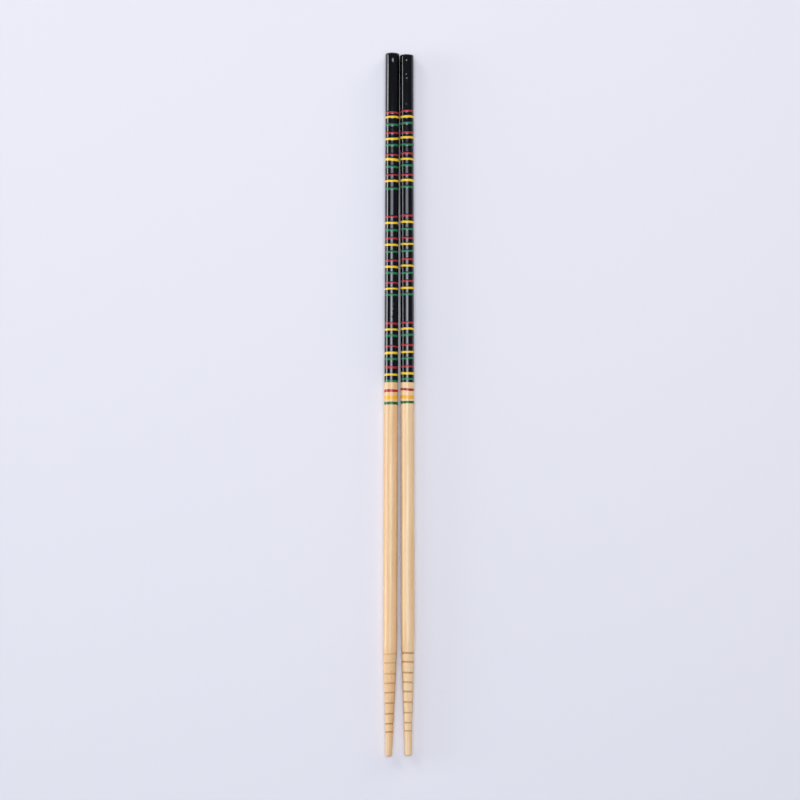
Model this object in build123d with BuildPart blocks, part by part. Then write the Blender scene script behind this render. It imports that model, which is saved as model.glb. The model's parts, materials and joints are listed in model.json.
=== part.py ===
from build123d import *
from dataclasses import dataclass
from math import cos, radians, sin, tan
import os

# A pair of long bamboo cooking chopsticks, lying side by side on a flat surface.
# Each stick is one piece: a domed head, a lacquered handle, a bare shank, and a taper
# with a row of fine grip grooves near its blunt tip.
# Sizes are in millimetres and degrees, with +Z up. The heads point to +Y and the tips
# to -Y, and the left stick is on the -X side.
# The origin is on the surface, halfway along the left stick and midway between the heads.

# Sizes that both sticks share
head_gap = 0.15  # clear space between the two heads
film = 0.04  # thickness of the lacquer at the head, from where it thins out to its edge
tip_rounding = 0.35  # softened edge round the tip's flat end
taper_spans = 4  # equal lengths that the taper's round sections divide it into
groove_floor = 0.45  # width of a groove's flat floor
groove_flare = 35.0  # angle at which a groove's walls open outwards
cutter_clearance = 1.0  # how far a groove's cutter stands out of the stick

# One gang of discs cut the grooves of both sticks, so both rows have the same uneven
# spacing, listed from the handle's side to the tip.
groove_pitches = (4.1, 5.0, 4.4, 4.3, 4.9, 4.9, 4.6, 3.8)


@dataclass(frozen=True)
class Stick:
    """The sizes of one stick, from its head to its tip."""

    side: int  # -1 is the left stick, and 1 the right one
    length: float
    head_setback: float  # how far the head lies behind the left one's
    handle_diameter: float  # over the lacquer, next to the head
    head_crown: float  # height of the head's shallow dome
    head_rim: float  # rounding between the dome and the handle
    lacquer_length: float  # from the head to the lacquer's edge
    taper_length: float
    taper_fullness: float  # 1 is a straight cone, more is a fuller one and less a hollower one
    land_length: float  # the steadier stretch behind the tip
    land_diameter: float  # where that stretch begins
    tip_diameter: float
    tip_lean: float  # how far the tip strays outwards from the shank's line
    splay: float  # angle at which the stick points away from the other one
    last_groove: float  # from the tip to the groove nearest to it
    first_depth: float  # depth of the groove nearest to the handle
    last_depth: float  # depth of the groove nearest to the tip
    groove_slant: float  # angle by which the grooves are out of square


left = Stick(
    side=-1,
    length=330.0,
    head_setback=0.0,
    handle_diameter=6.6,
    head_crown=0.65,
    head_rim=0.5,
    lacquer_length=156.1,
    taper_length=50.5,
    taper_fullness=0.95,
    land_length=8.0,
    land_diameter=3.65,
    tip_diameter=2.9,
    tip_lean=0.45,
    splay=0.22,
    last_groove=11.3,
    first_depth=0.08,
    last_depth=0.24,
    groove_slant=2.5,
)
right = Stick(
    side=1,
    length=328.8,
    head_setback=0.8,
    handle_diameter=6.5,
    head_crown=0.55,
    head_rim=0.45,
    lacquer_length=155.3,
    taper_length=59.0,
    taper_fullness=1.35,
    land_length=15.0,
    land_diameter=3.9,
    tip_diameter=3.3,
    tip_lean=0.15,
    splay=0.09,
    last_groove=11.4,
    first_depth=0.32,
    last_depth=0.16,
    groove_slant=-2.0,
)


def lying_plane(stick):
    """The level plane through a stick's axis, with X from head to tip and Y to the right."""
    turn = radians(stick.splay)
    radius = stick.handle_diameter / 2
    aside = stick.side * (radius + head_gap / 2)
    head = Vector(aside, left.length / 2 - stick.head_setback, radius)
    return Plane(head, x_dir=(stick.side * sin(turn), -cos(turn), 0), z_dir=(0, 0, 1))


def taper_radius(stick, distance):
    """The radius at a distance into the taper, counted from the shank."""
    shank_radius = stick.handle_diameter / 2 - film
    land_radius = stick.land_diameter / 2
    cone_length = stick.taper_length - stick.land_length
    if distance <= 0:
        return shank_radius
    if distance < cone_length:
        share = (distance / cone_length) ** stick.taper_fullness
        return shank_radius + (land_radius - shank_radius) * share
    share = (distance - cone_length) / stick.land_length
    return land_radius + (stick.tip_diameter / 2 - land_radius) * share


def taper_centre(stick, distance):
    """The middle of the round section at a distance into the taper."""
    aside = stick.side * stick.tip_lean * (max(distance, 0) / stick.taper_length) ** 2
    along = stick.length - stick.taper_length + distance
    return lying_plane(stick).from_local_coords(Vector(along, aside, 0))


def shank_section(stick):
    """Half of the lengthwise section of the head, the handle and the bare shank."""
    handle_radius = stick.handle_diameter / 2
    shank_radius = handle_radius - film
    taper_start = stick.length - stick.taper_length
    with BuildSketch(lying_plane(stick)) as section:
        with BuildLine():
            dome = TangentArc((0, 0), (stick.head_crown, handle_radius), tangent=(0, 1))
            Polyline(
                dome @ 1,
                (stick.lacquer_length, shank_radius),
                (taper_start, shank_radius),
                (taper_start, 0),
                (0, 0),
            )
        make_face()
        rim = section.vertices().group_by(Axis.Y)[-1].sort_by(Axis.X)[0]
        fillet(rim, radius=stick.head_rim)
    return section.sketch


def groove_section(plane, surface_radius, depth):
    """The edge of the disc that cuts one groove, narrowest at the groove's floor."""
    half_floor = groove_floor / 2
    floor = surface_radius - depth
    height = depth + cutter_clearance
    half_mouth = half_floor + height * tan(radians(groove_flare))
    with BuildSketch(plane) as section:
        with BuildLine():
            Polyline(
                (-half_floor, floor),
                (half_floor, floor),
                (half_mouth, floor + height),
                (-half_mouth, floor + height),
                close=True,
            )
        make_face()
    return section.sketch


def turned_stick(stick):
    """One whole chopstick, where it lies."""
    lying = lying_plane(stick)
    axis = Axis(lying.origin, lying.x_dir)
    with BuildPart() as body:
        revolve(shank_section(stick), axis=axis)

        # The taper runs through round sections whose middles stray with the grain.
        for span in range(taper_spans + 1):
            distance = stick.taper_length * span / taper_spans
            centre = taper_centre(stick, distance)
            with BuildSketch(Plane(centre, x_dir=lying.y_dir, z_dir=lying.x_dir)):
                Circle(taper_radius(stick, distance))
        loft()
        fillet(body.faces().sort_by(axis)[-1].edges(), radius=tip_rounding)

        # The grooves get deeper or shallower along the row, because the gang of discs
        # wasn't quite in line with the taper.
        for count in range(len(groove_pitches) + 1):
            from_tip = stick.last_groove + sum(groove_pitches[count:])
            distance = stick.taper_length - from_tip
            share = count / len(groove_pitches)
            depth = stick.first_depth + (stick.last_depth - stick.first_depth) * share
            centre = taper_centre(stick, distance)
            groove_axis = Axis(centre, lying.x_dir.rotate(Axis.Z, stick.groove_slant))
            cutting = Plane(centre, x_dir=groove_axis.direction, z_dir=lying.z_dir)
            disc = groove_section(cutting, taper_radius(stick, distance), depth)
            revolve(disc, axis=groove_axis, mode=Mode.SUBTRACT)
    return body


os.makedirs("parts", exist_ok=True)

left_chopstick = turned_stick(left)
left_chopstick.part.label = "left_chopstick"
export_step(left_chopstick.part, "parts/left_chopstick.step")

right_chopstick = turned_stick(right)
right_chopstick.part.label = "right_chopstick"
export_step(right_chopstick.part, "parts/right_chopstick.step")
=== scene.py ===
import json
import logging
import math
from dataclasses import dataclass, field
from enum import Enum
from typing import Any, Callable, Sequence

import bpy
import numpy as np
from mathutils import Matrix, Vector

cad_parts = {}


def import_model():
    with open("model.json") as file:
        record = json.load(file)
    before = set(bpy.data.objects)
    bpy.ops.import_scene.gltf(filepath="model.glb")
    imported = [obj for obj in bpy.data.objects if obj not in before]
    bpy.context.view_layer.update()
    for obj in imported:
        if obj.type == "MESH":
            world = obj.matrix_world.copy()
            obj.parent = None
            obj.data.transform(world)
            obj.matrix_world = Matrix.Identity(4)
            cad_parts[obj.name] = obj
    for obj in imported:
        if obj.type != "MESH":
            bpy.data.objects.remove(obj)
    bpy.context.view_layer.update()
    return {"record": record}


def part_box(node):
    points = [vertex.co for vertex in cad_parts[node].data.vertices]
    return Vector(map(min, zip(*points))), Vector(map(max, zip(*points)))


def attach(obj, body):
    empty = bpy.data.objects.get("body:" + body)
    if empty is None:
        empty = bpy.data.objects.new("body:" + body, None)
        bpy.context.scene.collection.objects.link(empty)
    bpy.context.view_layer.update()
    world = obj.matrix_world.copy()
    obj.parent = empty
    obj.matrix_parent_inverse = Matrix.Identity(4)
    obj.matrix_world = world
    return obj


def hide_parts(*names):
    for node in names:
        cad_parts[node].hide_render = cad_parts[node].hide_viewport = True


# A pair of bamboo cooking chopsticks, side by side on pale paper. A softbox hangs over them,
# windows stand behind them, and one more low window stands to the left.
# Lengths are in millimetres unless a comment says otherwise, and MM turns them into the scene's
# metres. "Along" is the distance from a stick's own head towards its tip.

MM = 0.001
LOG = logging.getLogger("chopsticks")

# A Mix node's sockets when it mixes colours.
MIX_SHARE, MIX_UNDER, MIX_OVER, MIX_RESULT = 0, 6, 7, 2

# How unlike the three axes move when a pattern starts at another place in the noise.
AXES_APART = (1.0, 1.7, 0.6)


class Side(Enum):
    """Which stick of the pair it is. The value is the sign of the X on which it lies."""

    LEFT = -1
    RIGHT = 1

    @property
    def word(self) -> str:
        """Its name as nodes, mounts and materials have it."""
        return self.name.lower()


class Coat(Enum):
    """What covers one stretch of a stick. The values are its material slots, in order."""

    LACQUER = 0
    RED_ON_BLACK = 1
    YELLOW_ON_BLACK = 2
    GREEN_ON_BLACK = 3
    RED_ON_BAMBOO = 4
    YELLOW_ON_BAMBOO = 5
    GREEN_ON_BAMBOO = 6
    BAMBOO = 7
    END_GRAIN = 8

    @property
    def on_lacquer(self) -> bool:
        """Whether a ring's paint lies on the lacquer, and not on bare wood."""
        return self.value < Coat.RED_ON_BAMBOO.value


def linear(hex_colour: str) -> tuple[float, float, float, float]:
    """Turns an sRGB colour into the linear one that Blender works in.

    Args:
        hex_colour: The colour as "#RRGGBB".

    Returns:
        Linear red, green, blue and an alpha of 1.
    """
    parts = [int(hex_colour[at:at + 2], 16) / 255 for at in (1, 3, 5)]
    r, g, b = (p / 12.92 if p <= 0.04045 else ((p + 0.055) / 1.055) ** 2.4 for p in parts)
    return r, g, b, 1.0


def add_node(
    tree: bpy.types.NodeTree,
    kind: str,
    settings: dict[str, Any] | None = None,
    inputs: dict[str | int, Any] | None = None,
) -> bpy.types.Node:
    """Adds one node, with its settings, values and incoming links.

    Args:
        tree: The node tree that gets the node.
        kind: The node's Blender type name.
        settings: Values for the node's own properties.
        inputs: What each input socket gets: another node's output socket, or a plain value.

    Returns:
        The new node.
    """
    node = tree.nodes.new(kind)
    for name, value in (settings or {}).items():
        setattr(node, name, value)
    for name, value in (inputs or {}).items():
        if isinstance(value, bpy.types.NodeSocket):
            tree.links.new(value, node.inputs[name])
        else:
            node.inputs[name].default_value = value
    return node


def new_material(name: str) -> tuple[bpy.types.Material, bpy.types.NodeTree]:
    """Makes an empty material.

    Args:
        name: The material's name.

    Returns:
        The material, and its node tree.
    """
    material = bpy.data.materials.new(name)
    material.use_nodes = True
    material.node_tree.nodes.clear()
    return material, material.node_tree


def finish_material(tree: bpy.types.NodeTree, **inputs: Any) -> None:
    """Closes a material with a Principled surface.

    Args:
        tree: The material's node tree.
        **inputs: The surface's sockets, with an underscore for each space.
    """
    named = {key.replace("_", " "): value for key, value in inputs.items()}
    surface = add_node(tree, "ShaderNodeBsdfPrincipled", inputs=named)
    add_node(tree, "ShaderNodeOutputMaterial", inputs={"Surface": surface.outputs["BSDF"]})


@dataclass(frozen=True)
class Ramp:
    """How one range of a pattern's value becomes another, and stays inside it."""

    low: float
    high: float
    to_low: float = 0.0
    to_high: float = 1.0

    def inputs(self, value: bpy.types.NodeSocket) -> dict[str | int, Any]:
        """What a Map Range node gets, so that it maps the value.

        Args:
            value: The pattern's value.

        Returns:
            The node's inputs.
        """
        return {
            "Value": value,
            "From Min": self.low,
            "From Max": self.high,
            "To Min": self.to_low,
            "To Max": self.to_high,
        }


@dataclass(frozen=True)
class Grain:
    """Noise in a stick's own solid, drawn out along it as fibres and brush marks are.

    The size of its cells is a real one in mm, and its scale is worked out from that.
    """

    across: float
    along: float
    start: float = 0.0  # where in the noise it starts, so that two patterns differ
    detail: float = 2.0  # how many finer layers it has
    fineness: float = 0.5  # how strong those layers are

    def value(self, tree: bpy.types.NodeTree, place: float) -> bpy.types.NodeSocket:
        """Adds the nodes that give the pattern.

        Args:
            tree: The material's node tree.
            place: Where in the noise the stick starts.

        Returns:
            The pattern's value, around 0.5.
        """
        start = place + self.start
        laid = add_node(
            tree,
            "ShaderNodeMapping",
            inputs={
                "Vector": add_node(tree, "ShaderNodeTexCoord").outputs["Object"],
                "Scale": [1 / (size * MM) for size in (self.across, self.along, self.across)],
                "Location": [start * share for share in AXES_APART],
            },
        )
        noise = add_node(
            tree,
            "ShaderNodeTexNoise",
            inputs={
                "Vector": laid.outputs["Vector"],
                "Scale": 1.0,
                "Detail": self.detail,
                "Roughness": self.fineness,
            },
        )
        return noise.outputs["Fac"]


def tinted(
    tree: bpy.types.NodeTree,
    under: Any,
    over: str,
    pattern: bpy.types.NodeSocket,
    ramp: Ramp,
    within: bpy.types.NodeSocket | None = None,
) -> bpy.types.NodeSocket:
    """Lays a colour over another one where a pattern is strong.

    Args:
        tree: The material's node tree.
        under: The colour underneath, as a linear colour or another node's output.
        over: The colour on top, as "#RRGGBB".
        pattern: The pattern that lets it through.
        ramp: The pattern's range in which it comes in, and how much of it shows there.
        within: How much of it can show at all at each place, where that isn't everywhere.

    Returns:
        The mixed colour.
    """
    share = add_node(tree, "ShaderNodeMapRange", inputs=ramp.inputs(pattern)).outputs["Result"]
    if within is not None:
        times = {"operation": "MULTIPLY"}
        share = add_node(tree, "ShaderNodeMath", times, {0: within, 1: share}).outputs["Value"]
    mixed = add_node(
        tree,
        "ShaderNodeMix",
        settings={"data_type": "RGBA"},
        inputs={MIX_SHARE: share, MIX_UNDER: under, MIX_OVER: linear(over)},
    )
    return mixed.outputs[MIX_RESULT]


def relief(
    tree: bpy.types.NodeTree, layers: Sequence[tuple[bpy.types.NodeSocket, float]]
) -> bpy.types.NodeSocket:
    """Turns layers of fine relief, each on top of the one before, into a bumped normal.

    Args:
        tree: The material's node tree.
        layers: Each layer's height from 0 to 1, and how high 1 stands above 0, in mm.

    Returns:
        The bumped normal.
    """
    inputs: dict[str | int, Any] = {"Strength": 1.0}
    for height, rise in layers:
        inputs |= {"Height": height, "Distance": rise * MM}
        inputs["Normal"] = add_node(tree, "ShaderNodeBump", inputs=inputs).outputs["Normal"]
    return inputs["Normal"]


@dataclass(frozen=True)
class Drop:
    """A low smooth swelling where the lacquer gathered as it dried.

    It is 0.03 to 0.13 mm high. Its tip side catches a fleck of light, beside the long streak.
    """

    across: float  # its middle, as the frame's X, Y and Z
    along: float
    up: float
    width: float
    length: float
    rise: float

    def height(self, tree: bpy.types.NodeTree) -> bpy.types.NodeSocket:
        """Adds the nodes that give its height.

        Args:
            tree: The material's node tree.

        Returns:
            The height, from 0 all round it to 1 in its middle.
        """
        middle = [place * MM for place in (self.across, self.along, self.up)]
        sizes = [2 / (size * MM) for size in (self.width, self.length, self.width)]
        away = add_node(
            tree,
            "ShaderNodeVectorMath",
            settings={"operation": "SUBTRACT"},
            inputs={0: add_node(tree, "ShaderNodeTexCoord").outputs["Object"], 1: middle},
        )
        scaled = add_node(
            tree,
            "ShaderNodeVectorMath",
            settings={"operation": "MULTIPLY"},
            inputs={0: away.outputs["Vector"], 1: sizes},
        )
        reach = add_node(
            tree,
            "ShaderNodeVectorMath",
            settings={"operation": "LENGTH"},
            inputs={0: scaled.outputs["Vector"]},
        )
        fall = add_node(
            tree,
            "ShaderNodeMapRange",
            settings={"interpolation_type": "SMOOTHERSTEP"},
            inputs=Ramp(0.0, 1.0, 1.0, 0.0).inputs(reach.outputs["Value"]),
        )
        return fall.outputs["Result"]


@dataclass(frozen=True)
class BlackLacquer:
    """Dipped black lacquer, which dried hanging.

    The eye gets a deep black with a thin clean streak of light, which wavers with the coat.
    """

    name: str
    place: float
    drops: tuple[Drop, ...]
    black: str = "#08090C"
    handled: str = "#0D0D10"  # where hands have left it a little paler
    ior: float = 1.52  # as lacquer has
    gloss: Ramp = Ramp(0.3, 0.75, 0.05, 0.09)  # its roughness, over the smears
    smears: Grain = Grain(1.5, 9.0, start=9.0)  # faint smears, as narrow as a touch leaves
    smear_tint: Ramp = Ramp(0.35, 0.7)
    waves: Grain = Grain(2.6, 7.0, detail=1.0)  # the slow run of the wet coat
    wave_rise: float = 0.015
    peel: Grain = Grain(0.5, 1.6, start=5.0, detail=1.0)  # the dried coat's fine orange peel
    peel_rise: float = 0.0012

    def build(self) -> bpy.types.Material:
        """Makes the material.

        Returns:
            The material.
        """
        material, tree = new_material(self.name)
        smears = self.smears.value(tree, self.place)
        layers = [
            (self.waves.value(tree, self.place), self.wave_rise),
            (self.peel.value(tree, self.place), self.peel_rise),
            *((drop.height(tree), drop.rise) for drop in self.drops),
        ]
        gloss = add_node(tree, "ShaderNodeMapRange", inputs=self.gloss.inputs(smears))
        black = linear(self.black)
        finish_material(
            tree,
            Base_Color=tinted(tree, black, self.handled, smears, self.smear_tint),
            Roughness=gloss.outputs["Result"],
            IOR=self.ior,
            Normal=relief(tree, layers),
        )
        return material


@dataclass(frozen=True)
class RingEnamel:
    """Enamel, ruled on with a brush while the stick turned.

    The eye gets full colour with a softer shine than the lacquer's, and faint streaks.
    """

    name: str
    full: str
    thin: str  # where the brush left less of it
    place: float
    ior: float = 1.5
    gloss: Ramp = Ramp(0.3, 0.7, 0.26, 0.38)  # its roughness, over the streaks
    # A brush's hairs are about 0.1 mm thick. They are drawn nearly twice as coarse, to show.
    streaks: Grain = Grain(1.2, 0.18)
    streak_tint: Ramp = Ramp(0.35, 0.75)
    streak_rise: float = 0.004

    def build(self) -> bpy.types.Material:
        """Makes the material.

        Returns:
            The material.
        """
        material, tree = new_material(self.name)
        streaks = self.streaks.value(tree, self.place)
        gloss = add_node(tree, "ShaderNodeMapRange", inputs=self.gloss.inputs(streaks))
        finish_material(
            tree,
            Base_Color=tinted(tree, linear(self.full), self.thin, streaks, self.streak_tint),
            Roughness=gloss.outputs["Result"],
            IOR=self.ior,
            Normal=relief(tree, [(streaks, self.streak_rise)]),
        )
        return material


@dataclass(frozen=True)
class BambooTones:
    """The colours of one stick's bamboo, as they show under its varnish."""

    pale: str
    warm: str
    fibre: str
    # The grooves' colour: partly the cut wood's own darker tone, partly painted shade.
    cut: str  # inside the grooves
    dry: str  # where the varnish is worn off


@dataclass(frozen=True)
class VarnishedBamboo:
    """Bamboo, turned, grooved and brushed with thin satin varnish.

    The eye gets warm streaked wood with a broad soft shine. The grooves are darker, partly in
    the cut wood's own tone and partly as painted shade, and round them the varnish is worn off
    in duller specks.
    """

    name: str
    tones: BambooTones
    place: float
    ior: float = 1.5
    gloss: Ramp = Ramp(0.3, 0.75, 0.29, 0.46)  # its roughness, over the fibres
    worn_dullness: float = 0.18  # what the roughness gains where the varnish is worn
    bands: Grain = Grain(2.2, 60.0, detail=1.0)  # paler and warmer stretches of the cane's wall
    band_tint: Ramp = Ramp(0.36, 0.66)
    # Fibre bundles are about 0.15 mm thick and the vessels in them about half of that. Both
    # are drawn twice as coarse, to show.
    fibres: Grain = Grain(0.32, 22.0, start=3.0, detail=3.0, fineness=0.6)
    fibre_tint: Ramp = Ramp(0.44, 0.74, to_high=0.55)
    fibre_rise: float = 0.009
    vessels: Grain = Grain(0.16, 5.0, start=7.0, detail=1.0)
    vessel_tint: Ramp = Ramp(0.62, 0.72, to_high=0.5)
    vessel_rise: float = 0.004
    # How the grooves' colour comes in over the wood: partly their own tone, partly painted shade.
    groove_tone_and_shade: Ramp = Ramp(0.05, 0.8)
    specks: Grain = Grain(0.4, 1.3, start=13.0)  # where the worn varnish has flaked
    speck_tint: Ramp = Ramp(0.46, 0.68, to_high=0.45)

    def build(self) -> bpy.types.Material:
        """Makes the material, which reads the mesh's values "cut" and "worn".

        Returns:
            The material.
        """
        material, tree = new_material(self.name)
        bands, fibres, vessels, specks = (
            grain.value(tree, self.place)
            for grain in (self.bands, self.fibres, self.vessels, self.specks)
        )
        cut, worn = (
            add_node(tree, "ShaderNodeAttribute", {"attribute_name": name}).outputs["Fac"]
            for name in ("cut", "worn")
        )
        tone = linear(self.tones.pale)
        for over, pattern, ramp, within in (
            (self.tones.warm, bands, self.band_tint, None),
            (self.tones.fibre, fibres, self.fibre_tint, None),
            (self.tones.fibre, vessels, self.vessel_tint, None),
            # The grooves' darker colour: partly their own tone, partly painted shade.
            (self.tones.cut, cut, self.groove_tone_and_shade, None),
            (self.tones.dry, specks, self.speck_tint, worn),
        ):
            tone = tinted(tree, tone, over, pattern, ramp, within)
        gloss = add_node(tree, "ShaderNodeMapRange", inputs=self.gloss.inputs(fibres))
        dulled = add_node(
            tree,
            "ShaderNodeMath",
            settings={"operation": "MULTIPLY_ADD"},
            inputs={0: worn, 1: self.worn_dullness, 2: gloss.outputs["Result"]},
        )
        finish_material(
            tree,
            Base_Color=tone,
            Roughness=dulled.outputs["Value"],
            IOR=self.ior,
            Normal=relief(tree, [(fibres, self.fibre_rise), (vessels, self.vessel_rise)]),
        )
        return material


@dataclass(frozen=True)
class EndGrain:
    """Bamboo, sawn square across and left without varnish.

    The eye gets a matt face, where each bundle of fibres ends in a darker dot.
    """

    name: str
    tones: BambooTones
    place: float
    ior: float = 1.5
    roughness: float = 0.6
    # The same bundles as the fibres above, and as coarse as those.
    bundles: Grain = Grain(0.3, 22.0, start=3.0, detail=1.0)
    bundle_tint: Ramp = Ramp(0.5, 0.62)
    bundle_rise: float = 0.02

    def build(self) -> bpy.types.Material:
        """Makes the material.

        Returns:
            The material.
        """
        material, tree = new_material(self.name)
        bundles = self.bundles.value(tree, self.place)
        ground = linear(self.tones.warm)
        finish_material(
            tree,
            Base_Color=tinted(tree, ground, self.tones.fibre, bundles, self.bundle_tint),
            Roughness=self.roughness,
            IOR=self.ior,
            Normal=relief(tree, [(bundles, self.bundle_rise)]),
        )
        return material


Finish = BlackLacquer | RingEnamel | VarnishedBamboo | EndGrain


@dataclass(frozen=True)
class SmoothPaper:
    """Calendered pale paper. The eye gets a plain matt ground that takes soft shadows."""

    name: str
    colour: str = "#E8E6EA"
    roughness: float = 0.9
    ior: float = 1.3

    def build(self) -> bpy.types.Material:
        """Makes the material.

        Returns:
            The material.
        """
        material, tree = new_material(self.name)
        colour = linear(self.colour)
        finish_material(tree, Base_Color=colour, Roughness=self.roughness, IOR=self.ior)
        return material


@dataclass(frozen=True)
class Rings:
    """Where one stick's painted rings lie, as distances along from its head."""

    red: tuple[float, ...]
    yellow: tuple[float, ...]
    green: tuple[float, ...]
    on_bamboo: tuple[float, float, float]  # the last red, yellow and green ones


@dataclass(frozen=True)
class Ring:
    """One painted ring."""

    centre: float
    width: float
    coat: Coat


@dataclass(frozen=True)
class StickSizes:
    """The sizes of one stick, as it was turned, dipped and cut."""

    side: Side
    head_crown: float  # height of the head's shallow dome
    head_rim: float  # rounding between the dome and the handle
    lacquer_length: float  # from the head to the lacquer's edge
    taper_length: float
    taper_fullness: float  # 1 is a straight cone, more is a fuller one
    land_length: float  # the steadier stretch behind the tip
    land_diameter: float  # where that stretch begins
    tip_diameter: float
    tip_lean: float  # how far the tip strays outwards from the shank's line
    last_groove: float  # from the tip to the groove nearest to it
    first_depth: float  # depth of the groove nearest to the handle
    last_depth: float
    groove_slant: float  # angle by which the grooves are out of square
    rings: Rings


@dataclass(frozen=True)
class StickLooks:
    """What makes the looks of one stick its own."""

    slot: str  # the record's material slot
    seed: int  # of its small irregularities and of its place in the noise
    tones: BambooTones
    drops: tuple[Drop, ...]


@dataclass(frozen=True)
class Station:
    """One closed line of corners round a stick."""

    along: float
    radius: float
    coat: Coat  # of the stretch that starts here
    cut: float = 0.0  # how deep inside a groove it lies, from 0 to 1


@dataclass
class Skin:
    """The faces of one stick, in order from its head."""

    faces: list[tuple[int, ...]] = field(default_factory=list)
    slots: list[int] = field(default_factory=list)  # one for each face
    flat: list[tuple[float, float]] = field(default_factory=list)  # one for each face's corner

    def add(
        self, face: tuple[int, ...], flat: tuple[tuple[float, float], ...], coat: Coat
    ) -> None:
        """Adds one face.

        Args:
            face: The numbers of its corners.
            flat: Their places on the flat map.
            coat: What covers it.
        """
        self.faces.append(face)
        self.flat += flat
        self.slots.append(coat.value)


# Both sticks went through one gang of cutting discs, so their grooves share one spacing.
GROOVE_PITCHES = (4.1, 5.0, 4.4, 4.3, 4.9, 4.9, 4.6, 3.8)

# How far a ring's line strays out of true, for each number of waves round the stick.
RING_WAVER = ((1, 0.09), (2, 0.035), (3, 0.02))

# Where the stations of one ring lie, as shares of its width.
RING_SHARES = (0.0, 0.08, 0.22, 0.5, 0.78, 0.92)

# The rings' widths, as shares of the usual one. Those on bare wood are wider.
RING_WIDTHS = {
    Coat.RED_ON_BLACK: 0.88,
    Coat.YELLOW_ON_BLACK: 0.98,
    Coat.GREEN_ON_BLACK: 1.0,
    Coat.RED_ON_BAMBOO: 1.25,
    Coat.YELLOW_ON_BAMBOO: 1.75,
    Coat.GREEN_ON_BAMBOO: 1.3,
}

# How far the varnish is worn, from 0 to 1: 4 mm ahead of the first groove, 1 mm past that
# groove, at the last groove and 3 mm past it.
WEAR = (0.0, 1.0, 1.0, 0.25)
WEAR_FROM_FIRST, WEAR_FROM_LAST = (-4.0, 1.0), (0.0, 3.0)

# What makes the rings' widths other random numbers than their waver.
WIDTH_SEED = 11

LEFT = StickSizes(
    side=Side.LEFT,
    head_crown=0.65,
    head_rim=0.5,
    lacquer_length=156.1,
    taper_length=50.5,
    taper_fullness=0.95,
    land_length=8.0,
    land_diameter=3.65,
    tip_diameter=2.9,
    tip_lean=0.45,
    last_groove=11.3,
    first_depth=0.08,
    last_depth=0.24,
    groove_slant=2.5,
    rings=Rings(
        red=(29.0, 38.6, 49.0, 58.6, 78.3, 88.7, 99.1, 109.4, 128.5, 139.4, 149.0),
        yellow=(31.1, 41.3, 51.1, 61.3, 81.2, 91.5, 101.9, 112.3, 131.3, 142.4, 152.6),
        green=(34.7, 44.3, 54.7, 65.0, 84.6, 94.8, 104.9, 115.2, 134.4, 145.3, 155.5),
        on_bamboo=(160.1, 163.1, 165.9),
    ),
)
RIGHT = StickSizes(
    side=Side.RIGHT,
    head_crown=0.55,
    head_rim=0.45,
    lacquer_length=155.3,
    taper_length=59.0,
    taper_fullness=1.35,
    land_length=15.0,
    land_diameter=3.9,
    tip_diameter=3.3,
    tip_lean=0.15,
    last_groove=11.4,
    first_depth=0.32,
    last_depth=0.16,
    groove_slant=-2.0,
    rings=Rings(
        red=(27.5, 37.6, 47.5, 57.6, 76.7, 87.3, 97.5, 107.8, 127.4, 137.8, 147.9),
        yellow=(30.1, 39.8, 50.1, 60.2, 79.8, 90.2, 100.5, 110.9, 130.2, 141.0, 151.0),
        green=(33.1, 43.2, 53.2, 63.4, 83.2, 93.6, 103.9, 114.0, 133.1, 144.1, 153.8),
        on_bamboo=(158.6, 162.1, 164.6),
    ),
)

# Each stick's lacquer gathered in one swelling at the head, and in a few small ones further on.
LEFT_LOOKS = StickLooks(
    slot="warm_bamboo",
    seed=3,
    tones=BambooTones(
        # cut is the grooves' colour: partly their own darker tone, partly painted shade.
        pale="#EFCB9C", warm="#E8BE8A", fibre="#CF9C62", cut="#BE884E", dry="#D6A566"
    ),
    drops=(
        Drop(across=-2.9, along=162.3, up=6.4, width=2.6, length=5.6, rise=0.13),
        Drop(across=-2.6, along=45.6, up=6.35, width=1.0, length=1.4, rise=0.075),
        Drop(across=-2.9, along=43.6, up=6.45, width=1.0, length=1.4, rise=0.075),
        Drop(across=-3.1, along=41.6, up=6.5, width=1.0, length=1.4, rise=0.07),
        Drop(across=-3.4, along=39.4, up=6.55, width=1.0, length=1.4, rise=0.07),
    ),
)
RIGHT_LOOKS = StickLooks(
    slot="pale_bamboo",
    seed=8,
    tones=BambooTones(
        # cut is the grooves' colour: partly their own darker tone, partly painted shade.
        pale="#F3D3A4", warm="#ECC593", fibre="#D4A66C", cut="#C4905A", dry="#F3DFB8"
    ),
    drops=(
        Drop(across=3.2, along=161.4, up=6.3, width=1.4, length=2.2, rise=0.05),
        Drop(across=3.1, along=154.6, up=6.3, width=1.2, length=1.6, rise=0.035),
        Drop(across=3.4, along=152.8, up=6.3, width=1.2, length=1.8, rise=0.035),
        Drop(across=2.9, along=140.4, up=6.3, width=1.0, length=1.2, rise=0.03),
    ),
)

# Each enamel's name, and its colours where it is full and where it is thin.
ENAMELS = {
    Coat.RED_ON_BLACK: ("red_enamel_on_lacquer", "#AC2634", "#8E1E2A"),
    Coat.YELLOW_ON_BLACK: ("yellow_enamel_on_lacquer", "#F2CB22", "#E0B41C"),
    Coat.GREEN_ON_BLACK: ("green_enamel_on_lacquer", "#1C7A4C", "#15653E"),
    Coat.RED_ON_BAMBOO: ("red_enamel_on_bamboo", "#B60E14", "#9A0C12"),
    Coat.YELLOW_ON_BAMBOO: ("yellow_enamel_on_bamboo", "#F7B62A", "#E8A520"),
    Coat.GREEN_ON_BAMBOO: ("green_enamel_on_bamboo", "#0E6C22", "#0B581A"),
}


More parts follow.
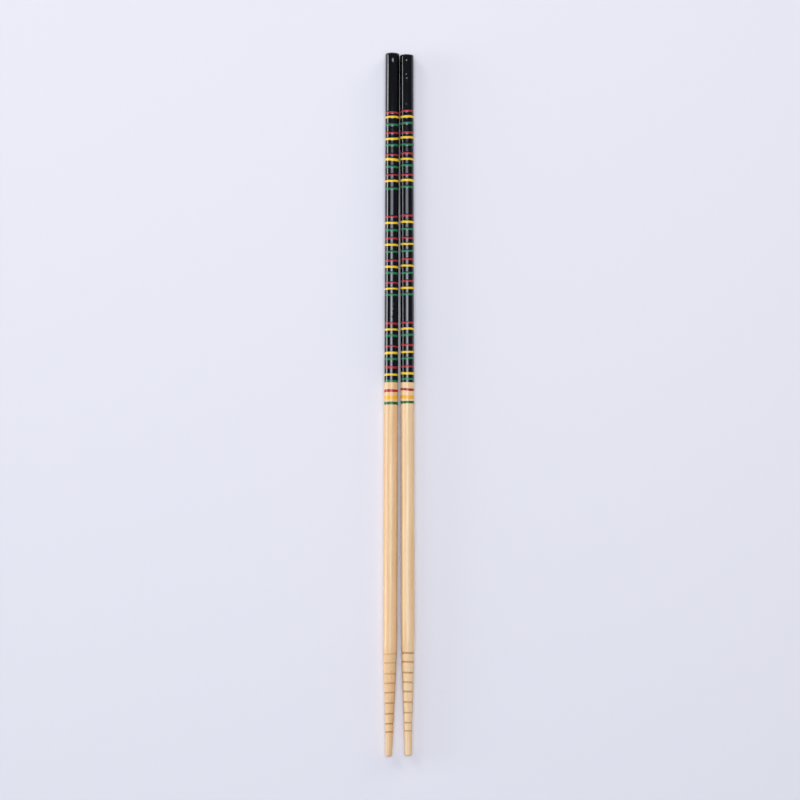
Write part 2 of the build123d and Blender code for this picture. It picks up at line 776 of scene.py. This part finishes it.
@dataclass
class Chopstick:
    """One whole stick: a domed head, a ringed lacquer handle, a bare shank and a grooved taper.

    Its mesh is made of stations, from the head to the tip, with the same number of corners.
    """

    node: str
    sizes: StickSizes
    place: Vector  # the head's middle, in metres
    heading: Vector  # from head to tip
    length: float
    radius: float  # of the handle, over the paint
    seed: int
    around: int = 112  # corners in each station
    film: float = 0.04  # the lacquer's thickness at the head
    paint: float = 0.02  # how high the rings' paint stands on the lacquer and the wood
    tip_rounding: float = 0.35
    groove_floor: float = 0.45
    groove_flare: float = 35.0
    groove_margin: float = 1.5  # plain wood that leans with the first and the last groove
    slant_onset: float = 3.5  # where that lean comes in ahead of it, and dies out past it
    slant_fade: float = 4.5
    # The grooves' tint is partly their own darker tone and partly painted shade.
    full_tint_depth: float = 0.2  # a groove of this depth is as dark as they get
    burr: float = 0.012  # height of the ridge that the discs pushed up on each edge
    burr_crest: float = 0.04  # how far that ridge's crest, flank and foot lie from the groove
    burr_flank: float = 0.12
    burr_foot: float = 0.24
    ring_width: float = 1.0
    ring_width_spread: float = 0.08
    calm_end: float = 12.0  # how far off the rings' waver dies out, at both ends
    lip: float = 0.3  # the stretch on which the lacquer's edge dips
    lip_dip: float = 0.012
    lip_clearance: float = 0.2  # from that edge to the wood's first station
    handle_step: float = 0.55  # the widest spaces between two stations
    ring_gap_step: float = 0.6
    shank_step: float = 0.9
    taper_step: float = 0.5
    dome_steps: int = 14  # how many spaces between stations these parts have
    rim_steps: int = 11
    lip_steps: int = 4
    tip_steps: int = 8
    map_strips: int = 4  # how many strips, side by side, its unrolled skin is cut into
    map_edge: float = 0.006  # free space at the strips' ends
    map_gutter: float = 0.004  # free space at the strips' sides
    stations: list[Station] = field(default_factory=list)

    def handle_radius(self, along: float) -> float:
        """The lacquer's radius, which gets a little less towards its edge."""
        return self.radius - self.paint - self.film * along / self.sizes.lacquer_length

    def wood_radius(self, along: float) -> float:
        """The bare wood's radius, on the shank and on the taper.

        Args:
            along: The distance along.

        Returns:
            The radius, less the height of the paint.
        """
        s = self.sizes
        shank, land, tip = self.radius - self.film, s.land_diameter / 2, s.tip_diameter / 2
        into = along - (self.length - s.taper_length)
        cone = s.taper_length - s.land_length
        if into <= 0:
            bare = shank
        elif into < cone:
            bare = shank + (land - shank) * (into / cone) ** s.taper_fullness
        else:
            bare = land + (tip - land) * (into - cone) / s.land_length
        return bare - self.paint

    def ring_list(self) -> list[Ring]:
        """Lists all the rings, each with its own slight difference in width.

        Returns:
            The rings, in order from the head.
        """
        chance = np.random.default_rng(self.seed + WIDTH_SEED)
        rings = self.sizes.rings
        rows = (
            (rings.red, Coat.RED_ON_BLACK),
            (rings.yellow, Coat.YELLOW_ON_BLACK),
            (rings.green, Coat.GREEN_ON_BLACK),
            (rings.on_bamboo[:1], Coat.RED_ON_BAMBOO),
            (rings.on_bamboo[1:2], Coat.YELLOW_ON_BAMBOO),
            (rings.on_bamboo[2:], Coat.GREEN_ON_BAMBOO),
        )
        out = []
        for centres, coat in rows:
            for centre in centres:
                spread = 1 + self.ring_width_spread * chance.standard_normal()
                out.append(Ring(centre, self.ring_width * RING_WIDTHS[coat] * spread, coat))
        return sorted(out, key=lambda ring: ring.centre)

    def groove_list(self) -> list[tuple[float, float]]:
        """Lists each groove's distance along and its depth.

        Returns:
            The grooves, in order from the handle's side.
        """
        s = self.sizes
        grooves = []
        for count in range(len(GROOVE_PITCHES) + 1):
            from_tip = s.last_groove + sum(GROOVE_PITCHES[count:])
            share = count / len(GROOVE_PITCHES)
            depth = s.first_depth + (s.last_depth - s.first_depth) * share
            grooves.append((self.length - from_tip, depth))
        return grooves

    def wear(self, along: float) -> float:
        """Tells how far the varnish is worn, which is most where the grooves are.

        Args:
            along: The distance along.

        Returns:
            The wear, from 0 to 1.
        """
        grooves = self.groove_list()
        first, last = grooves[0][0], grooves[-1][0]
        marks = [first + off for off in WEAR_FROM_FIRST] + [last + off for off in WEAR_FROM_LAST]
        return float(np.interp(along, marks, WEAR))

    def plain(
        self, start: float, stop: float, coat: Coat, radius: Callable[[float], float], step: float
    ) -> list[Station]:
        """Lists evenly spaced stations.

        Args:
            start: Where they begin.
            stop: Where they end.
            coat: What covers them.
            radius: The radius at a distance along.
            step: The widest space between two of them.

        Returns:
            The stations, without the one that ends the stretch.
        """
        count = max(1, math.ceil((stop - start) / step))
        alongs = [start + (stop - start) * n / count for n in range(count)]
        return [Station(along, radius(along), coat) for along in alongs]

    def painted(
        self, start: float, stop: float, coat: Coat, radius: Callable[[float], float]
    ) -> list[Station]:
        """Lists the stations of one ring, whose paint is thickest in its middle.

        Args:
            start: Where the ring begins.
            stop: Where the ring ends.
            coat: The ring's colour.
            radius: The radius of what lies under it.

        Returns:
            The stations, without the one that ends the ring.
        """
        out = []
        for share in RING_SHARES:
            along = start + (stop - start) * share
            build = self.paint * (1 - (2 * share - 1) ** 4)
            out.append(Station(along, radius(along) + build, coat))
        return out

    def head_stations(self) -> list[Station]:
        """Lists the stations of the shallow dome and of the rounded rim behind it.

        Returns:
            The stations, with the one that ends the rim.
        """
        crown, rim, radius = self.sizes.head_crown, self.sizes.head_rim, self.handle_radius(0)
        ball = (crown**2 + radius**2) / (2 * crown)
        rim_along = ball - math.sqrt((ball - rim) ** 2 - (radius - rim) ** 2)
        meet = math.atan2(radius - rim, ball - rim_along)
        dome = [
            (ball * (1 - math.cos(turn)), ball * math.sin(turn))
            for turn in np.linspace(0, meet, self.dome_steps + 1)[1:-1]
        ]
        edge = [
            (rim_along - rim * math.cos(turn), radius - rim + rim * math.sin(turn))
            for turn in np.linspace(meet, math.pi / 2, self.rim_steps + 1)
        ]
        return [Station(along, out, Coat.LACQUER) for along, out in dome + edge]

    def handle_stations(self) -> list[Station]:
        """Lists the stations of the lacquered handle, whose rings stand a hair above it.

        Returns:
            The stations, with the one at the lacquer's edge.
        """
        out = []
        radius, step = self.handle_radius, self.handle_step
        at = self.head_stations()[-1].along
        end = self.sizes.lacquer_length
        for ring in self.ring_list():
            if ring.coat.on_lacquer:
                start = ring.centre - ring.width / 2
                stop = min(ring.centre + ring.width / 2, end)
                out += self.plain(at, start, Coat.LACQUER, radius, step)
                out += self.painted(start, stop, ring.coat, radius)
                at = stop
        if at < end - self.lip:
            out += self.plain(at, end - self.lip, Coat.LACQUER, radius, step)
            at = end - self.lip
        # The film has thinned out here, and its edge dips into the wood.
        for share in np.linspace(0, 1, self.lip_steps + 1):
            along = at + (end - at) * share
            coat = Coat.LACQUER if share < 1 else Coat.BAMBOO
            out.append(Station(along, radius(along) - self.lip_dip * share**2, coat))
        return out

    def shank_stations(self) -> list[Station]:
        """Lists the stations of the bare wood ahead of the grooves, with its three rings.

        Returns:
            The stations, without the one that ends the stretch.
        """
        out = []
        at = self.sizes.lacquer_length + self.lip_clearance
        for ring in self.ring_list():
            if not ring.coat.on_lacquer:
                start, stop = ring.centre - ring.width / 2, ring.centre + ring.width / 2
                out += self.plain(at, start, Coat.BAMBOO, self.wood_radius, self.ring_gap_step)
                out += self.painted(start, stop, ring.coat, self.wood_radius)
                at = stop
        end = self.groove_list()[0][0] - self.groove_margin
        out += self.plain(at, end, Coat.BAMBOO, self.wood_radius, self.shank_step)
        return out

    def groove_stations(self, centre: float, depth: float) -> list[Station]:
        """Lists the stations of one groove, with the burr on both its edges.

        The groove's tint is partly the cut wood's own darker tone and partly painted shade, which
        is painted heavier on the side towards the tip, so that side is darker.

        Args:
            centre: The groove's distance along.
            depth: Its depth.

        Returns:
            The stations, from one burr's foot to the other's flank.
        """
        floor = self.groove_floor / 2
        mouth = floor + depth * math.tan(math.radians(self.groove_flare))
        strength = min(1.0, depth / self.full_tint_depth)
        # Each row: offset along, rise, and the share of the groove tint, which is partly own tone
        # and partly painted shade, heavier towards the tip.
        shape = (
            (-mouth - self.burr_foot, 0.0, 0.0),
            (-mouth - self.burr_flank, self.burr * 0.7, 0.0),
            (-mouth - self.burr_crest, self.burr, 0.0),
            (-mouth, 0.0, 0.1),
            (-(floor + mouth) / 2, -depth / 2, 0.3),
            (-floor, -depth * 0.95, 0.5),
            (-floor / 2, -depth, 0.8),
            (floor / 2, -depth, 1.0),
            (floor, -depth * 0.95, 1.0),
            ((floor + mouth) / 2, -depth / 2, 1.0),
            (mouth, 0.0, 0.9),
            (mouth + self.burr_crest, self.burr, 0.7),
            (mouth + self.burr_flank, self.burr * 0.7, 0.25),
        )
        out = []
        for offset, rise, cut in shape:
            along = centre + offset
            radius = self.wood_radius(along) + rise
            out.append(Station(along, radius, Coat.BAMBOO, cut * strength))
        return out

    def taper_stations(self) -> list[Station]:
        """Lists the stations of the grooved taper, and of the tip's soft edge and flat end.

        Returns:
            The stations, without the tip's middle.
        """
        out = []
        grooves = self.groove_list()
        at = grooves[0][0] - self.groove_margin
        for centre, depth in grooves:
            groove = self.groove_stations(centre, depth)
            out += self.plain(at, groove[0].along, Coat.BAMBOO, self.wood_radius, self.taper_step)
            out += groove
            at = 2 * centre - groove[0].along  # the foot of the burr on the other side
        rounding = self.tip_rounding
        edge = self.length - rounding
        out += self.plain(at, edge, Coat.BAMBOO, self.wood_radius, self.taper_step)
        end = self.wood_radius(self.length)
        for turn in np.linspace(0, math.pi / 2, self.tip_steps + 1)[:-1]:
            along = self.length - rounding * (1 - math.sin(turn))
            out.append(Station(along, end - rounding * (1 - math.cos(turn)), Coat.BAMBOO))
        flat = end - rounding
        shares = (1.0, 0.75, 0.5, 0.25)
        out += [Station(self.length, flat * share, Coat.END_GRAIN) for share in shares]
        return out

    def lay_out(self) -> None:
        """Lists every station from the head to the tip."""
        head = self.head_stations()[:-1]  # the handle starts with the rim's last station
        handle, shank, taper = self.handle_stations(), self.shank_stations(), self.taper_stations()
        self.stations = head + handle + shank + taper

    def slip(self, turns: np.ndarray) -> np.ndarray:
        """How far each corner lies ahead of its station.

        The rings were ruled by eye, so each is a little out of square and wavers. The grooves
        slant together, because the gang of discs stood askew.

        Args:
            turns: The corners' angles round the stick.

        Returns:
            One row of distances for each station.
        """
        chance = np.random.default_rng(self.seed)
        alongs = np.array([station.along for station in self.stations])
        centres = [ring.centre for ring in self.ring_list()]
        marks = [0.0, self.calm_end, *centres, centres[-1] + self.calm_end, self.length]
        still = [0, 1, len(marks) - 2, len(marks) - 1]
        total = np.zeros((len(alongs), len(turns)))
        for wave, size in RING_WAVER:
            for shape in (np.cos, np.sin):
                amounts = chance.normal(0, size, len(marks))
                amounts[still] = 0
                total += np.outer(np.interp(alongs, marks, amounts), shape(wave * turns))
        grooves = self.groove_list()
        first, last = grooves[0][0] - self.groove_margin, grooves[-1][0] + self.groove_margin
        marks = [first - self.slant_onset, first, last, last + self.slant_fade]
        ramp = np.interp(alongs, marks, [0, 1, 1, 0])
        radii = np.array([station.radius for station in self.stations])
        slant = -math.tan(math.radians(self.sizes.groove_slant))
        return total + np.outer(ramp * radii * slant, np.cos(turns))

    def corners(self) -> np.ndarray:
        """Places all the corners of the stations.

        Returns:
            Their places in metres, one row of them for each station.
        """
        s = self.sizes
        turns = -math.pi / 2 + 2 * math.pi * np.arange(self.around) / self.around
        alongs = np.array([station.along for station in self.stations])
        radii = np.array([station.radius for station in self.stations])[:, None]
        ahead = alongs[:, None] + self.slip(turns)
        into = np.clip(ahead - (self.length - s.taper_length), 0, None)
        lean = s.side.value * s.tip_lean * (into / s.taper_length) ** 2
        aside = lean + radii * np.cos(turns)[None, :]
        up = radii * np.sin(turns)[None, :]
        heading, right = np.array(self.heading), np.array(self.right())
        level = ahead[..., None] * heading + aside[..., None] * right
        return np.array(self.place) + MM * (level + up[..., None] * np.array((0.0, 0.0, 1.0)))

    def right(self) -> Vector:
        """The level direction to the stick's right, as seen from above with the head on top."""
        return Vector((-self.heading.y, self.heading.x, 0))

    def corner(self, row: int, at: int) -> int:
        """Numbers one corner of the mesh.

        Args:
            row: Its row: 0 is the head's middle, the stations follow, and the last one is the
                tip's middle.
            at: Its place in that row.

        Returns:
            Its number.
        """
        if row == 0:
            return 0
        if row > len(self.stations):
            return 1 + len(self.stations) * self.around
        return 1 + (row - 1) * self.around + at % self.around

    def unrolled(self) -> tuple[np.ndarray, np.ndarray]:
        """Lays the skin out on a flat map of strips, side by side.

        Returns:
            The strip of each stretch between two stations, and the heights of its two edges.
        """
        alongs = np.array([0.0] + [station.along for station in self.stations] + [self.length])
        radii = np.array([0.0] + [station.radius for station in self.stations] + [0.0])
        run = np.concatenate(([0.0], np.cumsum(np.hypot(np.diff(alongs), np.diff(radii)))))
        ends = [run[-1] * n / self.map_strips for n in range(self.map_strips + 1)]
        cuts = [int(np.abs(run - end).argmin()) for end in ends]
        strip = np.zeros(len(run) - 1, int)
        heights = np.zeros((len(run) - 1, 2))
        for n, (first, stop) in enumerate(zip(cuts, cuts[1:])):
            strip[first:stop] = n
            shares = (run[first:stop + 1] - run[first]) / (run[stop] - run[first])
            marks = self.map_edge + (1 - 2 * self.map_edge) * shares
            heights[first:stop, 0] = marks[:-1]
            heights[first:stop, 1] = marks[1:]
        return strip, heights

    def skin(self) -> Skin:
        """Joins the corners up into faces: four-sided ones, and fans at both ends.

        Returns:
            The faces.
        """
        skin = Skin()
        corner, around, count = self.corner, self.around, len(self.stations)
        strip, heights = self.unrolled()
        for row in range(count + 1):
            low = strip[row] / self.map_strips + self.map_gutter
            high = (strip[row] + 1) / self.map_strips - self.map_gutter
            near, far = heights[row]
            coat = Coat.LACQUER if row == 0 else self.stations[row - 1].coat
            for at in range(around):
                left, mid, away = (
                    low + (high - low) * (at + share) / around for share in (0, 0.5, 1)
                )
                if row == 0:
                    face = (0, corner(1, at), corner(1, at + 1))
                    flat = ((mid, near), (left, far), (away, far))
                elif row == count:
                    face = (corner(row, at + 1), corner(row, at), corner(row + 1, at))
                    flat = ((away, near), (left, near), (mid, far))
                else:
                    start = corner(row, at), corner(row + 1, at)
                    face = (*start, corner(row + 1, at + 1), corner(row, at + 1))
                    flat = ((left, near), (left, far), (away, far), (away, near))
                skin.add(face, flat, coat)
        return skin

    def build(self) -> bpy.types.Object:
        """Makes the mesh.

        Returns:
            The object that stands for the CAD node.
        """
        self.lay_out()
        lean = self.sizes.side.value * self.sizes.tip_lean
        tip = self.place + (self.heading * self.length + self.right() * lean) * MM
        points = np.vstack((self.place, self.corners().reshape(-1, 3), tip))
        skin = self.skin()
        mesh = bpy.data.meshes.new(self.node + "_looks")
        mesh.from_pydata(points.tolist(), [], skin.faces)
        mesh.polygons.foreach_set("material_index", skin.slots)
        mesh.polygons.foreach_set("use_smooth", [True] * len(skin.faces))
        layer = mesh.uv_layers.new(name="OFBake")
        layer.data.foreach_set("uv", np.array(skin.flat, np.float32).ravel())
        # The cut values carry the grooves' tint, partly their own tone and partly painted shade;
        # worn carries the wear.
        for name, values in (
            ("cut", [station.cut for station in self.stations]),
            ("worn", [self.wear(station.along) for station in self.stations]),
        ):
            attribute = mesh.attributes.new(name, "FLOAT", "POINT")
            spread = np.concatenate(([0.0], np.repeat(values, self.around), [0.0]))
            attribute.data.foreach_set("value", spread.astype(np.float32))
        mesh.update()
        piece = bpy.data.objects.new(self.node + "_looks", mesh)
        bpy.context.scene.collection.objects.link(piece)
        return piece

    def dress(self, piece: bpy.types.Object, looks: StickLooks) -> None:
        """Gives the piece one material slot for each coat, in the coats' order.

        Args:
            piece: The stick's mesh object.
            looks: The stick's own colours and swellings.
        """
        word, place = self.sizes.side.word, float(looks.seed)
        finishes: dict[Coat, Finish] = {
            coat: RingEnamel(f"{name}_{word}", full, thin, place + coat.value)
            for coat, (name, full, thin) in ENAMELS.items()
        }
        finishes[Coat.LACQUER] = BlackLacquer(f"dipped_black_lacquer_{word}", place, looks.drops)
        finishes[Coat.BAMBOO] = VarnishedBamboo(f"varnished_bamboo_{word}", looks.tones, place)
        finishes[Coat.END_GRAIN] = EndGrain(f"bamboo_end_grain_{word}", looks.tones, place)
        for coat in Coat:
            piece.data.materials.append(finishes[coat].build())


@dataclass
class ChopstickPair:
    """Both sticks, in the places that the CAD frame gives them."""

    record: dict[str, Any]

    def mount_line(self, name: str) -> tuple[Vector, Vector]:
        """Finds a mount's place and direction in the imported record.

        Args:
            name: The mount's name.

        Returns:
            A point on the mount's axis in metres, and the axis's direction.
        """
        mount = next(m for m in self.record["mounts"] if m["name"] == name)
        return Vector(mount["pos_m"]), Vector(mount["axis"]).normalized()

    def lay(self, sizes: StickSizes, seed: int) -> Chopstick:
        """Puts one stick on its own line in the frame.

        Args:
            sizes: The stick's sizes.
            seed: What makes its small irregularities its own.

        Returns:
            The stick, ready to be built.
        """
        node = sizes.side.word + "_chopstick"
        low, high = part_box(node)
        point, heading = self.mount_line(sizes.side.word + "_shank")
        head = point + heading * ((high.y - point.y) / heading.y)
        length = (high.y - low.y) / -heading.y / MM
        radius = (high.z - low.z) / 2 / MM
        return Chopstick(node, sizes, head, heading, length, radius, seed)

    def build(self) -> list[bpy.types.Object]:
        """Builds, dresses and declares both sticks.

        Returns:
            The two pieces.
        """
        pieces = []
        for sizes, looks in ((LEFT, LEFT_LOOKS), (RIGHT, RIGHT_LOOKS)):
            stick = self.lay(sizes, looks.seed)
            piece = stick.build()
            stick.dress(piece, looks)
            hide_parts(stick.node)
            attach(piece, "root")
            pieces.append(piece)
        return pieces


@dataclass(frozen=True)
class SoftLight:
    """A rectangular diffuse light. Its sizes and places are in metres."""

    name: str
    place: tuple[float, float, float]  # its middle
    aim: tuple[float, float, float]  # the point that it faces
    width: float
    height: float
    radiance: float  # how bright its face looks, where the paper looks 0.8
    colour: str

    def build(self) -> bpy.types.Object:
        """Makes the light.

        Returns:
            The light's object.
        """
        light = bpy.data.lights.new(self.name, "AREA")
        light.shape = "RECTANGLE"
        light.size, light.size_y = self.width, self.height
        light.energy = self.radiance * math.pi * self.width * self.height
        light.color = linear(self.colour)[:3]
        lamp = bpy.data.objects.new(self.name, light)
        lamp.location = self.place
        way = Vector(self.aim) - Vector(self.place)
        lamp.rotation_euler = way.to_track_quat("-Z", "Y").to_euler()
        bpy.context.scene.collection.objects.link(lamp)
        return lamp


# The softbox and its brighter core draw the streaks on the lacquer. The windows behind light
# wood and paper, and lie too low for the lacquer to mirror them straight up. The low one to the
# left gives the sticks a lit flank and a soft shadow.
MIDDLE = (0.0, 0.0, 0.0)
LIGHTS = (
    SoftLight(
        "overhead_softbox", (0.0, 0.0075, 1.6), (0.0, 0.0075, 0.0), 1.25, 0.715, 5.0, "#E9F0FF"
    ),
    SoftLight("softbox_core", (0.0, 0.02, 1.58), (0.0, 0.02, 0.0), 0.26, 0.5, 10.0, "#EEF3FF"),
    SoftLight("rear_left_window", (-1.15, 1.35, 0.95), MIDDLE, 0.7, 0.7, 6.0, "#FFFFFF"),
    SoftLight("rear_middle_window", (0.0, 1.35, 0.95), MIDDLE, 0.7, 0.7, 2.0, "#FFFDFC"),
    SoftLight("rear_right_window", (1.15, 1.35, 0.95), MIDDLE, 0.7, 0.7, 2.2, "#FFF6E8"),
    SoftLight("low_rear_right_window", (1.3, 1.3, 0.4), MIDDLE, 0.8, 0.5, 6.0, "#FFF0DC"),
    SoftLight("low_left_window", (-1.6, 0.11, 0.27), (0.0, 0.11, 0.0), 0.74, 0.48, 10.5, "#FFFFFF"),
)


@dataclass(frozen=True)
class Studio:
    """The paper sheet, the lights, the room and the camera."""

    paper_reach: float = 4.0  # from the middle to each edge, in metres
    room: str = "#C9CCD8"
    room_level: float = 0.2
    lens: float = 135.0
    sensor: float = 36.0
    target: tuple[float, float, float] = (0.165, 0.75, 3.3)  # where the camera looks
    elevation: float = 86.0
    distance: float = 1404.0
    clipping: tuple[float, float] = (0.05, 20.0)  # in metres

    def build_paper(self) -> bpy.types.Object:
        """Lays smooth pale paper under the sticks.

        Returns:
            The sheet.
        """
        mesh = bpy.data.meshes.new("paper_sheet")
        signs = ((-1, -1), (1, -1), (1, 1), (-1, 1))
        corners = [(x * self.paper_reach, y * self.paper_reach, 0) for x, y in signs]
        mesh.from_pydata(corners, [], [(0, 1, 2, 3)])
        sheet = bpy.data.objects.new("paper_sheet", mesh)
        sheet.data.materials.append(SmoothPaper("smooth_pale_paper").build())
        bpy.context.scene.collection.objects.link(sheet)
        return sheet

    def build_room(self) -> None:
        """Fills the room with a little light from all round."""
        world = bpy.data.worlds.new("room")
        world.use_nodes = True
        tree = world.node_tree
        tree.nodes.clear()
        inputs = {"Color": linear(self.room), "Strength": self.room_level}
        glow = add_node(tree, "ShaderNodeBackground", inputs=inputs)
        add_node(tree, "ShaderNodeOutputWorld", inputs={"Surface": glow.outputs["Background"]})
        bpy.context.scene.world = world

    def build_camera(self) -> bpy.types.Object:
        """Sets up the camera, which looks down from a little towards the tips.

        Returns:
            The camera.
        """
        lens = bpy.data.cameras.new("camera")
        lens.lens, lens.sensor_width = self.lens, self.sensor
        lens.clip_start, lens.clip_end = self.clipping
        camera = bpy.data.objects.new("camera", lens)
        target = Vector(self.target) * MM
        rise, reach = math.radians(self.elevation), self.distance * MM
        camera.location = target + Vector((0, -math.cos(rise), math.sin(rise))) * reach
        camera.rotation_euler = (target - camera.location).to_track_quat("-Z", "Y").to_euler()
        bpy.context.scene.collection.objects.link(camera)
        bpy.context.scene.camera = camera
        return camera

    def build(self) -> list[bpy.types.Object]:
        """Builds the whole studio.

        Returns:
            The paper, the lights and the camera.
        """
        paper = self.build_paper()
        lamps = [light.build() for light in LIGHTS]
        self.build_room()
        camera = self.build_camera()
        bpy.context.scene.view_settings.view_transform = "Standard"
        return [paper, *lamps, camera]


def main() -> None:
    """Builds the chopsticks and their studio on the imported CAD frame."""
    logging.basicConfig(level=logging.INFO, format="%(name)s: %(message)s")
    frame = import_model()
    for piece in ChopstickPair(frame["record"]).build():
        counts = len(piece.data.polygons), len(piece.data.materials)
        LOG.info("%s: %d faces, %d materials", piece.name, *counts)
    for item in Studio().build():
        LOG.info("studio: %s", item.name)


if __name__ == "__main__":
    main()
